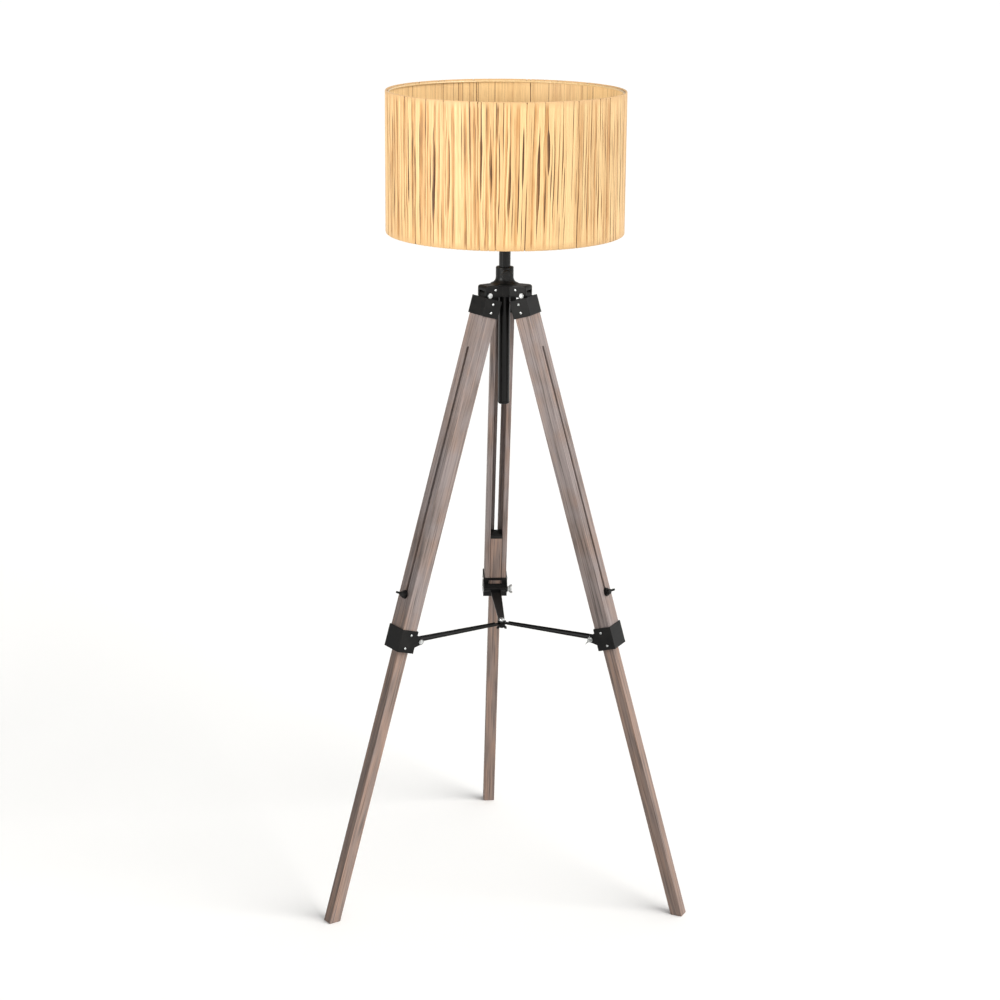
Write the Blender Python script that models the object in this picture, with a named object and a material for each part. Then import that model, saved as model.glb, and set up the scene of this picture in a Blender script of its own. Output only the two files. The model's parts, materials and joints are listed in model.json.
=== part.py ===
"""Tripod floor lamp with a raffia drum shade.

Three telescopic wooden legs hang from a cast head and are held open by a folding brace. A tube slides
in the neck of the head and carries the lampholder, the bulb and the drum shade. Metres, +Z up. The
origin is on the floor, under the centre of the lamp's bounding box, and one leg points to +Y.
"""
from math import atan2, cos, hypot, pi, radians, sin, sqrt

import bmesh
import bpy
from mathutils import Matrix, Vector

GAP = 0.0003            # space between faces that touch
ROUND = 32              # sides of a large round piece
SMALL_ROUND = 16        # sides of a bolt or a bore

# Shade
SHADE_RADIUS = 0.225
SHADE_BOTTOM = 1.315
SHADE_HEIGHT = 0.265
SHADE_WALL = 0.003
SHADE_SIDES = 64
SHADE_WIRE = 0.002      # radius of the ring wires
SPOKE_WIRE = 0.0016
FITTER_HEIGHT = 0.010   # of the fitter's underside above the shade's lower edge
FITTER_THICK = 0.002
FITTER_HOLE = 0.0203
FITTER_RADIUS = 0.027

# Column
TUBE_RADIUS = 0.011
TUBE_BORE = 0.0095
TUBE_BOTTOM = 0.987
HOLDER_BASE = 1.290     # where the lampholder stands on the tube

# Legs, each in a frame whose origin is on its pivot, whose Z runs up the leg and whose X points outwards
LEG_AZIMUTHS = {"back": 90.0, "left": 210.0, "right": 330.0}
PIVOT_RADIUS = 0.044
PIVOT_HEIGHT = 1.199
FOOT_RADIUS = 0.395     # of the upper leg's centre line where it would meet the floor
LEG_INSET = 0.0066      # of the upper leg's centre line inside the pivot
UPPER_WIDTH = 0.044
UPPER_DEPTH = 0.032
CHEEK = 0.0098          # thickness of the channel's two sides
WEB = 0.0085            # thickness of its outer wall
LOWER_WIDTH = 0.0232
LOWER_DEPTH = 0.0226
UPPER_TOP = 0.0143      # distances down the leg from the pivot
UPPER_BOTTOM = 0.6966
LOWER_TOP = 0.560
SLOT_TOP = 0.102
SLOT_BOTTOM = 0.599
SLOT_WIDTH = 0.007
LOCK_AT = 0.591
SHEET = 0.002           # thickness of the leg caps and collars
COLLAR_TOP = 0.655
COLLAR_BOTTOM = 0.699
CAP_TOP = 0.0055
CAP_FLOOR = 0.0105
CAP_BOTTOM = 0.040

# Head
NECK_RADIUS = 0.017
NECK_TOP = 1.249
NECK_BORE = TUBE_RADIUS + 0.0004
HEAD_TOP = 1.217
HEAD_UNDERSIDE = 1.1938
LUG_HALF_WIDTH = 0.0145
LUG_SLOT_HALF = 0.0090
LUG_RADIUS = 0.0075
TONGUE_RADIUS = 0.0070
PIN_RADIUS = 0.0030
CLAMP_AZIMUTH = 277.0
CLAMP_HEIGHT = 1.236

# Brace
HUB_HEIGHT = 0.543
HINGE_INSET = 0.0110    # of the hinge axis inside the collar's inner face
EAR_RADIUS = 0.0065
KNUCKLE_RADIUS = 0.0048
ARM_THICK = 0.0016
ARM_LIP = 0.0036
ARM_HALF_OUTER = 0.0105
ARM_HALF_INNER = 0.0060
HUB_RING = 0.0085
HUB_PITCH = 0.0023      # height between one arm's ring and the next
ARM_ORDER = ("left", "right", "back")   # bottom to top of the stack

LEAN = atan2(FOOT_RADIUS - PIVOT_RADIUS + LEG_INSET, PIVOT_HEIGHT)
FOOT_OUTER = FOOT_RADIUS + (UPPER_DEPTH / 2 - WEB - GAP) / cos(LEAN)
AXIS_Y = (SHADE_RADIUS - FOOT_OUTER) / 2     # centres the bounding box on the origin
UPPER_X = -LEG_INSET                         # centre of the upper leg in its frame
WEB_FACE = UPPER_X + UPPER_DEPTH / 2 - WEB   # the channel's inner wall
LOWER_X = WEB_FACE - GAP - LOWER_DEPTH / 2
SLEEVE_DEPTH = UPPER_DEPTH / 2 + GAP         # inside half sizes of caps and collars
SLEEVE_WIDTH = UPPER_WIDTH / 2 + GAP
HINGE_X = UPPER_X - SLEEVE_DEPTH - SHEET - HINGE_INSET
HINGE_DOWN = (PIVOT_HEIGHT - HUB_HEIGHT + HINGE_X * sin(LEAN)) / cos(LEAN)
ARM_REACH = PIVOT_RADIUS + HINGE_DOWN * sin(LEAN) + HINGE_X * cos(LEAN)

COLOURS = {
    "weathered_wood": ((0.36, 0.26, 0.22), 0.75, 0.0),
    "black_iron": ((0.022, 0.022, 0.021), 0.45, 0.6),
    "black_plastic": ((0.015, 0.015, 0.015), 0.5, 0.0),
    "zinc": ((0.62, 0.62, 0.60), 0.3, 1.0),
    "raffia": ((0.93, 0.69, 0.36), 0.8, 0.0),
    "white_wire": ((0.75, 0.73, 0.68), 0.5, 0.0),
    "opal_glass": ((0.9, 0.9, 0.86), 0.2, 0.0),
}


def clear_scene():
    for thing in list(bpy.data.objects):
        bpy.data.objects.remove(thing, do_unlink=True)


def material(name):
    found = bpy.data.materials.get(name)
    if found:
        return found
    colour, roughness, metallic = COLOURS[name]
    made = bpy.data.materials.new(name)
    made.use_nodes = True
    shader = made.node_tree.nodes["Principled BSDF"]
    shader.inputs["Base Color"].default_value = (*colour, 1.0)
    shader.inputs["Roughness"].default_value = roughness
    shader.inputs["Metallic"].default_value = metallic
    made.diffuse_color = (*colour, 1.0)
    return made


# Shapes: each returns a closed bmesh

def block(x, y, z):
    shape = bmesh.new()
    bmesh.ops.create_cube(shape, size=1.0)
    for vert in shape.verts:
        vert.co = Vector([pair[0] if c < 0 else pair[1] for c, pair in zip(vert.co, (x, y, z))])
    return shape


def prism(outline, low, high):
    """An outline in X and Y, carried from one height to another."""
    shape = bmesh.new()
    face = shape.faces.new([shape.verts.new((x, y, low)) for x, y in outline])
    grown = bmesh.ops.extrude_face_region(shape, geom=[face])
    bmesh.ops.translate(shape, verts=[v for v in grown["geom"] if isinstance(v, bmesh.types.BMVert)],
                        vec=(0, 0, high - low))
    bmesh.ops.recalc_face_normals(shape, faces=shape.faces)
    return shape


def rod(radius, low, high, sides=SMALL_ROUND, centre=(0, 0)):
    return prism([(centre[0] + radius * cos(2 * pi * i / sides), centre[1] + radius * sin(2 * pi * i / sides))
                  for i in range(sides)], low, high)


def turned(profile, sides=ROUND):
    """A profile of (radius, height) points turned about Z; a point at radius 0 is on the axis."""
    shape = bmesh.new()
    rings = []
    for radius, height in profile:
        count = 1 if radius == 0 else sides
        rings.append([shape.verts.new((radius * cos(2 * pi * i / count), radius * sin(2 * pi * i / count), height))
                      for i in range(count)])
    closed = profile[0][0] != 0
    pairs = list(zip(rings, rings[1:])) + ([(rings[-1], rings[0])] if closed else [])
    for one, two in pairs:
        for i in range(sides):
            j = (i + 1) % sides
            corners = [one[i % len(one)], one[j % len(one)], two[j % len(two)], two[i % len(two)]]
            corners = list(dict.fromkeys(corners))
            shape.faces.new(corners)
    bmesh.ops.recalc_face_normals(shape, faces=shape.faces)
    return shape


def torus(radius, wire, height, sides=SHADE_SIDES, wire_sides=8):
    return turned([(radius + wire * cos(2 * pi * i / wire_sides), height + wire * sin(2 * pi * i / wire_sides))
                   for i in range(wire_sides)], sides)


def moved(shape, matrix):
    shape.transform(matrix)
    return shape


def facing(direction, at=(0, 0, 0)):
    """The transform that takes +Z to a direction and the origin to a place."""
    return Matrix.Translation(at) @ Vector(direction).to_track_quat("Z", "Y").to_matrix().to_4x4()


def arc(centre, radius, start, end, steps):
    return [(centre[0] + radius * cos(radians(start + (end - start) * i / steps)),
             centre[1] + radius * sin(radians(start + (end - start) * i / steps))) for i in range(steps + 1)]


# Objects

def mesh_object(name, shape, frame):
    mesh = bpy.data.meshes.new(name)
    shape.to_mesh(mesh)
    shape.free()
    made = bpy.data.objects.new(name, mesh)
    bpy.context.scene.collection.objects.link(made)
    made.parent = frame
    return made


def solid(name, finish, shapes, cuts=(), frame=None):
    """One piece: the first shape, joined to the others and then cut."""
    made = mesh_object(name, shapes[0], frame)
    made.data.materials.append(material(finish))
    steps = [("UNION", shape) for shape in shapes[1:]] + [("DIFFERENCE", shape) for shape in cuts]
    for number, (operation, shape) in enumerate(steps):
        tool = mesh_object(f"{name}_tool_{number}", shape, frame)
        tool.hide_render = True
        tool.display_type = "WIRE"
        step = made.modifiers.new(f"{operation.title()} {number}", "BOOLEAN")
        step.operation = operation
        step.object = tool
    made.data.shade_smooth()
    made.data.set_sharp_from_angle(angle=radians(35))
    return made


def empty(name, matrix, parent=None):
    made = bpy.data.objects.new(name, None)
    bpy.context.scene.collection.objects.link(made)
    made.parent = parent
    made.matrix_local = matrix
    return made


def wing_nut(base, base_height, boss, boss_height, reach, rise, thick, bore):
    """A nut that stands on Z=0, with two wings that flare away from it along X."""
    wing = [(0, base_height * 0.5), (reach * 0.62, base_height), (reach, rise - 0.003), (reach, rise),
            (reach - 0.004, rise), (boss * 0.7, boss_height * 0.8), (0, boss_height * 0.8)]
    upright = Matrix.Rotation(pi / 2, 4, "X") @ Matrix.Translation((0, 0, -thick / 2))
    shapes = [turned([(0, 0), (base, 0), (base, base_height), (boss, base_height), (boss, boss_height), (0, boss_height)],
                     SMALL_ROUND),
              moved(prism(wing, 0, thick), upright),
              moved(prism([(-x, z) for x, z in wing], 0, thick), upright)]
    return shapes, [rod(bore, -0.01, boss_height + 0.01)] if bore else []


def hex_head(across, low, high):
    return rod(across / sqrt(3), low, high, 6)


# The lamp's pieces

def make_head(frame):
    flare = arc((NECK_RADIUS + 0.012, HEAD_TOP + 0.012), 0.012, 180, 270, 6)
    body = turned([(NECK_BORE, HEAD_UNDERSIDE), (0.0225, HEAD_UNDERSIDE), (0.0225, HEAD_TOP - 0.0012)]
                  + [(0.0275, HEAD_TOP - 0.0012)] + [(min(x, 0.0275), z) for x, z in reversed(flare)]
                  + [(NECK_RADIUS, NECK_TOP - 0.001), (NECK_RADIUS - 0.001, NECK_TOP), (NECK_BORE, NECK_TOP)])
    shapes, cuts = [body], []
    for azimuth in LEG_AZIMUTHS.values():
        turn = Matrix.Rotation(radians(azimuth), 4, "Z")
        ear = PIVOT_RADIUS + LUG_RADIUS
        side = ([(NECK_BORE + 0.003, HEAD_UNDERSIDE), (PIVOT_RADIUS - LUG_RADIUS, HEAD_UNDERSIDE)]
                + arc((PIVOT_RADIUS, PIVOT_HEIGHT), LUG_RADIUS, 225, 360, 6)
                + arc((ear - 0.005, HEAD_TOP - 0.005), 0.005, 0, 90, 4)
                + [(NECK_BORE + 0.003, HEAD_TOP)])
        upright = turn @ Matrix.Rotation(pi / 2, 4, "X")
        shapes.append(moved(prism(side, -LUG_HALF_WIDTH, LUG_HALF_WIDTH), upright))
        slot_top = PIVOT_HEIGHT + TONGUE_RADIUS + 0.0015
        cuts.append(moved(block((PIVOT_RADIUS - TONGUE_RADIUS - 0.003, ear + 0.01), (-LUG_SLOT_HALF, LUG_SLOT_HALF),
                                (HEAD_UNDERSIDE - 0.02, slot_top)), turn))
        cuts.append(moved(rod(PIN_RADIUS + GAP, -0.03, 0.03), upright @ Matrix.Translation((PIVOT_RADIUS, PIVOT_HEIGHT, 0))))
    towards = Vector((cos(radians(CLAMP_AZIMUTH)), sin(radians(CLAMP_AZIMUTH)), 0))
    shapes.append(moved(rod(0.0082, 0.0135, 0.0215, 24), facing(towards, (0, 0, CLAMP_HEIGHT))))
    cuts.append(rod(NECK_BORE, HEAD_UNDERSIDE - 0.01, NECK_TOP + 0.01, ROUND))
    cuts.append(moved(rod(PIN_RADIUS + GAP, 0.008, 0.03), facing(towards, (0, 0, CLAMP_HEIGHT))))
    solid("head_casting", "black_iron", shapes, cuts, frame)
    knob = turned([(0, 0.0120), (PIN_RADIUS, 0.0120), (PIN_RADIUS, 0.0219), (0.0098, 0.0219), (0.0104, 0.0225),
                   (0.0104, 0.0300), (0.0092, 0.0318), (0.0060, 0.0330), (0, 0.0334)], 24)
    solid("column_clamp_knob", "black_plastic", [knob], (), empty("clamp_axis", facing(towards, (0, 0, CLAMP_HEIGHT)), frame))


def make_column(frame):
    top = HOLDER_BASE - GAP
    solid("column_tube", "black_iron", [turned([(TUBE_BORE, TUBE_BOTTOM), (TUBE_RADIUS, TUBE_BOTTOM),
                                                (TUBE_RADIUS, top), (TUBE_BORE, top)])], (), frame)
    low = TUBE_BOTTOM - GAP
    inner = TUBE_BORE - GAP
    solid("cord_bush", "black_plastic", [turned([(0.0036, low - 0.004), (0.0085, low - 0.004), (TUBE_RADIUS, low - 0.002),
                                                 (TUBE_RADIUS, low), (inner, low), (inner, low + 0.012),
                                                 (0.0036, low + 0.012)])], (), frame)
    fitter = SHADE_BOTTOM + FITTER_HEIGHT
    solid("lampholder_cap", "black_plastic",
          [turned([(0.0040, HOLDER_BASE - 0.016), (inner, HOLDER_BASE - 0.016), (inner, HOLDER_BASE),
                   (0.0135, HOLDER_BASE), (0.0180, HOLDER_BASE + 0.004), (0.0200, HOLDER_BASE + 0.010),
                   (0.0200, HOLDER_BASE + 0.020), (0.0175, HOLDER_BASE + 0.020), (0.0175, HOLDER_BASE + 0.006),
                   (0.0040, HOLDER_BASE + 0.006)])], (), frame)
    low = HOLDER_BASE + 0.020 + GAP
    thread = FITTER_HOLE - 2 * GAP
    solid("lampholder_body", "black_plastic",
          [turned([(0.0030, low), (0.0200, low), (0.0225, low + 0.003), (0.0225, fitter - GAP), (thread, fitter - GAP),
                   (thread, fitter + 0.022), (0.0185, fitter + 0.024), (0.0185, fitter + 0.034), (0.0150, fitter + 0.034),
                   (0.0150, low + 0.004), (0.0030, low + 0.004)])], (), frame)
    nut = fitter + FITTER_THICK + GAP
    solid("shade_ring_nut", "black_plastic",
          [turned([(FITTER_HOLE - GAP, nut), (0.0262, nut), (0.0262, nut + 0.006), (0.0235, nut + 0.008),
                   (FITTER_HOLE - GAP, nut + 0.008)])], (), frame)
    base = low + 0.004 + GAP
    neck = fitter + 0.036
    solid("bulb_base", "zinc", [turned([(0, base), (0.0045, base), (0.0050, base + 0.002), (0.0110, base + 0.005),
                                        (0.0132, base + 0.006), (0.0132, neck), (0, neck)], 24)], (), frame)
    centre, radius = neck + 0.062, 0.030
    globe = arc((0, centre), radius, -50, 90, 14)
    profile = [(0, neck + GAP), (0.0130, neck + GAP), (0.0135, neck + 0.008), (0.0155, neck + 0.024)]
    solid("bulb_glass", "opal_glass", [turned(profile + [(max(x, 0), z) for x, z in globe[:-1]] + [(0, globe[-1][1])], 24)],
          (), frame)


def make_shade(frame):
    outer, inner = SHADE_RADIUS, SHADE_RADIUS - SHADE_WALL
    top = SHADE_BOTTOM + SHADE_HEIGHT
    solid("shade_drum", "raffia", [turned([(inner, SHADE_BOTTOM), (outer, SHADE_BOTTOM), (outer, top), (inner, top)],
                                          SHADE_SIDES)], (), frame)
    ring = inner - SHADE_WIRE - 2 * GAP
    solid("shade_top_ring", "white_wire", [torus(ring, SHADE_WIRE, top - 0.004)], (), frame)
    fitter = SHADE_BOTTOM + FITTER_HEIGHT
    plate = turned([(FITTER_HOLE, fitter), (FITTER_RADIUS + 0.001, fitter), (FITTER_RADIUS + 0.001, fitter + FITTER_THICK),
                    (FITTER_HOLE, fitter + FITTER_THICK)], ROUND)
    shapes = [torus(ring, SHADE_WIRE, SHADE_BOTTOM + 0.004), plate]
    for azimuth in LEG_AZIMUTHS.values():
        out = Vector((cos(radians(azimuth)), sin(radians(azimuth)), 0))
        start = out * (FITTER_RADIUS - 0.0010) + Vector((0, 0, fitter + FITTER_THICK - SPOKE_WIRE - GAP))
        end = out * ring + Vector((0, 0, SHADE_BOTTOM + 0.004))
        shapes.append(moved(rod(SPOKE_WIRE, 0, (end - start).length, 10), facing(end - start, start)))
    solid("shade_bottom_frame", "white_wire", shapes, (), frame)


def make_upper_leg(side, frame):
    half = UPPER_WIDTH / 2
    outer, inner = UPPER_X + UPPER_DEPTH / 2, UPPER_X - UPPER_DEPTH / 2
    channel = [(outer, -half), (outer, half), (inner, half), (inner, half - CHEEK), (WEB_FACE, half - CHEEK),
               (WEB_FACE, CHEEK - half), (inner, CHEEK - half), (inner, -half)]
    slot_half = SLOT_WIDTH / 2
    slot = (arc((0, -SLOT_TOP - slot_half), slot_half, 0, 180, 8) + arc((0, -SLOT_BOTTOM + slot_half), slot_half, 180, 360, 8))
    across = Matrix(((0, 0, 1, 0), (1, 0, 0, 0), (0, 1, 0, 0), (0, 0, 0, 1)))
    solid(f"upper_leg_{side}", "weathered_wood", [prism(channel, -UPPER_BOTTOM, -UPPER_TOP)],
          [moved(prism(slot, WEB_FACE - 0.005, outer + 0.005), across)], frame)


def make_leg_cap(side, frame):
    depth, width = SLEEVE_DEPTH + SHEET, SLEEVE_WIDTH + SHEET
    floor = CAP_FLOOR + SHEET
    side_view = ([(-TONGUE_RADIUS - 0.002, -floor + 0.0005)] + [(TONGUE_RADIUS, -floor + 0.0005)]
                 + arc((0, 0), TONGUE_RADIUS, 0, 180, 10))
    upright = Matrix.Rotation(pi / 2, 4, "X")
    tongue_half = LUG_SLOT_HALF - GAP
    shapes = [block((UPPER_X - depth, UPPER_X + depth), (-width, width), (-CAP_BOTTOM, -CAP_TOP)),
              moved(prism(side_view, -tongue_half, tongue_half), upright)]
    inside = ((UPPER_X - SLEEVE_DEPTH, UPPER_X + SLEEVE_DEPTH), (-SLEEVE_WIDTH, SLEEVE_WIDTH))
    well = block(*inside, (-CAP_FLOOR, 0.02))
    sleeve = block(*inside, (-CAP_BOTTOM - 0.01, -floor))
    made = solid(f"leg_cap_{side}", "black_iron", [shapes[0]], [well, sleeve], frame)
    for number, (operation, shape) in enumerate((("UNION", shapes[1]),
                                                 ("DIFFERENCE", moved(rod(PIN_RADIUS + GAP, -0.03, 0.03), upright)))):
        tool = mesh_object(f"{made.name}_tongue_{number}", shape, frame)
        tool.hide_render = True
        tool.display_type = "WIRE"
        step = made.modifiers.new(f"Tongue {number}", "BOOLEAN")
        step.operation = operation
        step.object = tool


def make_collar(side, frame):
    depth, width = SLEEVE_DEPTH + SHEET, SLEEVE_WIDTH + SHEET
    inner_face = UPPER_X - depth
    ear = ([(inner_face + SHEET, -HINGE_DOWN - 0.014), (inner_face + SHEET, -HINGE_DOWN + 0.012)]
           + arc((HINGE_X, -HINGE_DOWN), EAR_RADIUS, 90, 270, 8))
    upright = Matrix.Rotation(pi / 2, 4, "X")
    shapes = [block((UPPER_X - depth, UPPER_X + depth), (-width, width), (-COLLAR_BOTTOM, -COLLAR_TOP))]
    shapes += [moved(prism(ear, low, low + SHEET), upright) for low in (-width, width - SHEET)]
    pass_half = (LOWER_DEPTH / 2 + 2 * GAP, LOWER_WIDTH / 2 + 2 * GAP)
    cuts = [block((UPPER_X - SLEEVE_DEPTH, UPPER_X + SLEEVE_DEPTH), (-SLEEVE_WIDTH, SLEEVE_WIDTH),
                  (-COLLAR_BOTTOM + SHEET, -COLLAR_TOP + 0.01)),
            block((LOWER_X - pass_half[0], LOWER_X + pass_half[0]), (-pass_half[1], pass_half[1]),
                  (-COLLAR_BOTTOM - 0.01, -COLLAR_BOTTOM + 0.005)),
            block((inner_face - 0.001, inner_face + SHEET + 0.001), (-0.0135, 0.0135), (-COLLAR_TOP - 0.0145, -COLLAR_TOP - 0.0050)),
            moved(rod(PIN_RADIUS + GAP, -0.03, 0.03), upright @ Matrix.Translation((HINGE_X, -HINGE_DOWN, 0)))]
    solid(f"collar_{side}", "black_iron", shapes, cuts, frame)


def make_lower_leg(side, frame):
    half_depth, half_width = LOWER_DEPTH / 2, LOWER_WIDTH / 2
    outline = [(LOWER_X + half_depth * a, half_width * b) for a, b in ((1, -1), (1, 1), (-1, 1), (-1, -1))]
    shape = prism(outline, -1.0, -LOWER_TOP)
    for vert in shape.verts:
        if vert.co.z < -LOWER_TOP - 0.1:        # the foot is cut level with the floor
            vert.co.z = -(PIVOT_HEIGHT + vert.co.x * sin(LEAN)) / cos(LEAN)
    stud = facing((1, 0, 0), (0, 0, -LOCK_AT))
    solid(f"lower_leg_{side}", "weathered_wood", [shape], [moved(rod(PIN_RADIUS + GAP, LOWER_X - 0.006, 0.03), stud)], frame)
    cap_half = half_width + 0.0004
    low, high = -LOWER_TOP + GAP, -LOWER_TOP + 0.009
    shape = block((LOWER_X - half_depth, LOWER_X + half_depth), (-cap_half, cap_half), (low, high))
    bmesh.ops.bevel(shape, geom=[e for e in shape.edges if all(v.co.z > high - 1e-6 for v in e.verts)],
                    offset=0.0015, segments=2, affect="EDGES")
    solid(f"lower_leg_cap_{side}", "black_plastic", [shape], (), frame)


def make_leg_hardware(side, frame):
    across = Matrix.Rotation(pi / 2, 4, "X")        # takes +Z to -Y
    face = LUG_HALF_WIDTH + GAP
    pivot = empty(f"pivot_axis_{side}", across, frame)
    solid(f"pivot_bolt_{side}", "zinc", [rod(PIN_RADIUS, -face - 0.001, face + 0.0040),
                                         rod(0.0050, -face - 0.0034, -face, SMALL_ROUND)], (), pivot)
    solid(f"pivot_nut_{side}", "zinc", [hex_head(0.0086, face, face + 0.0034)], [rod(PIN_RADIUS + GAP, 0, 0.03)], pivot)

    outer = UPPER_X + UPPER_DEPTH / 2
    lock = empty(f"lock_axis_{side}", facing((1, 0, 0), (outer + GAP, 0, -LOCK_AT)), frame)
    solid(f"lock_washer_{side}", "black_iron", [turned([(PIN_RADIUS + GAP, 0), (0.0086, 0), (0.0086, 0.0012),
                                                        (PIN_RADIUS + GAP, 0.0012)], 20)], (), lock)
    shapes, cuts = wing_nut(0.0076, 0.003, 0.0052, 0.008, 0.0125, 0.0125, 0.0036, 0)
    shapes = [moved(shape, Matrix.Translation((0, 0, 0.0012 + GAP))) for shape in shapes]
    solid(f"lock_knob_{side}", "black_plastic", shapes + [rod(PIN_RADIUS, LOWER_X - 0.005 - outer, 0.004)], cuts, lock)

    width = SLEEVE_WIDTH + SHEET + GAP
    hinge = empty(f"brace_axis_{side}", Matrix.Translation((HINGE_X, 0, -HINGE_DOWN)) @ across, frame)
    solid(f"brace_bolt_{side}", "zinc", [rod(PIN_RADIUS - 0.0005, -width - 0.001, width + 0.0085),
                                         turned([(0, -width - 0.0030), (0.0038, -width - 0.0026), (0.0050, -width - 0.0010),
                                                 (0.0050, -width), (0, -width)], SMALL_ROUND)], (), hinge)
    shapes, cuts = wing_nut(0.0052, 0.002, 0.0040, 0.006, 0.0095, 0.0095, 0.0018, PIN_RADIUS - 0.0005 + GAP)
    solid(f"brace_wing_nut_{side}", "zinc", shapes, cuts,
          empty(f"wing_nut_seat_{side}", Matrix.Translation((0, 0, width)) @ Matrix.Rotation(radians(35), 4, "Z"), hinge))


def make_brace_arm(side, frame):
    """The arm lies along +X from its hinge to the hub, in a frame that stands level in the world."""
    level = ARM_ORDER.index(side) - 1
    tilt = -level * HUB_PITCH / ARM_REACH
    hinge = empty(f"arm_axis_{side}", Matrix.Translation((HINGE_X, 0, -HINGE_DOWN))
                  @ Matrix.Rotation(LEAN, 4, "Y") @ Matrix.Rotation(pi, 4, "Z") @ Matrix.Rotation(tilt, 4, "Y"), frame)
    low = -KNUCKLE_RADIUS
    reach = ARM_REACH - HUB_RING * 0.6
    upright = Matrix.Rotation(pi / 2, 4, "X")
    strip = [(0, -ARM_HALF_OUTER), (0.02, -ARM_HALF_OUTER), (reach, -ARM_HALF_INNER), (reach, ARM_HALF_INNER),
             (0.02, ARM_HALF_OUTER), (0, ARM_HALF_OUTER)]
    lip = 0.0014
    shapes = [prism(strip, low, low + ARM_LIP),
              rod(HUB_RING, low, low + ARM_THICK + 0.0001, 24, (ARM_REACH, 0)),
              moved(rod(KNUCKLE_RADIUS, -SLEEVE_WIDTH + GAP, SLEEVE_WIDTH - GAP, 20), upright)]
    groove = [(KNUCKLE_RADIUS + 0.001, -ARM_HALF_OUTER + lip), (0.02, -ARM_HALF_OUTER + lip),
              (reach - 0.006, -ARM_HALF_INNER + lip), (reach - 0.006, ARM_HALF_INNER - lip), (0.02, ARM_HALF_OUTER - lip),
              (KNUCKLE_RADIUS + 0.001, ARM_HALF_OUTER - lip)]
    over = ARM_REACH - HUB_RING - 0.004
    cuts = [prism(groove, low + ARM_THICK, low + ARM_LIP + 0.002),
            block((over, ARM_REACH + 0.02), (-0.02, 0.02), (low + ARM_THICK, low + ARM_LIP + 0.002)),
            rod(PIN_RADIUS + GAP, low - 0.001, low + ARM_LIP, SMALL_ROUND, (ARM_REACH, 0)),
            moved(rod(PIN_RADIUS - 0.0005 + GAP, -0.03, 0.03), upright)]
    solid(f"brace_arm_{side}", "black_iron", shapes, cuts, hinge)
    middle = Matrix.Translation((ARM_REACH, 0, low))
    if side == ARM_ORDER[-1]:
        top = ARM_THICK + 0.0001 + GAP
        solid("hub_bolt", "zinc", [turned([(0, 0.0003), (PIN_RADIUS, 0.0003), (PIN_RADIUS, top), (0.0058, top),
                                           (0.0058, top + 0.002), (0.0050, top + 0.004), (0.0030, top + 0.0056),
                                           (0, top + 0.0062)], 20)], (), empty("hub_bolt_axis", middle, hinge))
    if side == ARM_ORDER[0]:
        shapes, cuts = wing_nut(0.0060, 0.002, 0.0046, 0.007, 0.0100, 0.0095, 0.0024, 0)
        stud = rod(PIN_RADIUS, -ARM_THICK, 0.002)
        below = Matrix.Rotation(pi, 4, "X")
        solid("hub_wing_nut", "black_iron", shapes + [stud], cuts,
              empty("hub_nut_axis", middle @ Matrix.Translation((0, 0, -GAP)) @ Matrix.Rotation(radians(-30), 4, "Z") @ below, hinge))


def make_leg(side, azimuth, frame):
    turn = Matrix.Rotation(radians(azimuth), 4, "Z")
    place = turn @ Matrix.Translation((PIVOT_RADIUS, 0, PIVOT_HEIGHT)) @ Matrix.Rotation(-LEAN, 4, "Y")
    leg = empty(f"leg_frame_{side}", place, frame)
    make_leg_cap(side, leg)
    make_upper_leg(side, leg)
    make_collar(side, leg)
    make_lower_leg(side, leg)
    make_leg_hardware(side, leg)
    make_brace_arm(side, leg)


def main():
    clear_scene()
    axis = empty("lamp_axis", Matrix.Translation((0, AXIS_Y, 0)))
    make_head(axis)
    make_column(axis)
    make_shade(axis)
    for side, azimuth in LEG_AZIMUTHS.items():
        make_leg(side, azimuth, axis)


main()
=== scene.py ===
"""Looks of a tripod floor lamp: weathered wooden telescopic legs, a black cast head and brace, and a drum
shade bound with raffia. Metres, +Z up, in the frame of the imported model.
"""
import json
from math import asin, cos, exp, pi, radians, sin
from random import Random

import bmesh
import bpy
from mathutils import Matrix, Vector, noise


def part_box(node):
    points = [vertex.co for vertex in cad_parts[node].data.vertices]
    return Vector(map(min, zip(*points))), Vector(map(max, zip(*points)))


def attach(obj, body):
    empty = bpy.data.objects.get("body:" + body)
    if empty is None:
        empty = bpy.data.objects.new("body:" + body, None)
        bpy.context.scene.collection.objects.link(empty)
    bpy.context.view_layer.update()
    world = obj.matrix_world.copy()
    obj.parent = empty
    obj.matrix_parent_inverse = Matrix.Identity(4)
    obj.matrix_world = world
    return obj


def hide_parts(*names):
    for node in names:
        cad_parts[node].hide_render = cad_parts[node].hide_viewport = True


bl_info = {
    "name": "Tripod lamp",
    "version": (1, 0, 0),
    "blender": (4, 5, 0),
    "location": "View3D > Sidebar > Tripod lamp",
    "description": "Builds the pieces, finishes, light and camera of a tripod floor lamp around its frame",
    "category": "Object",
}

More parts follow.
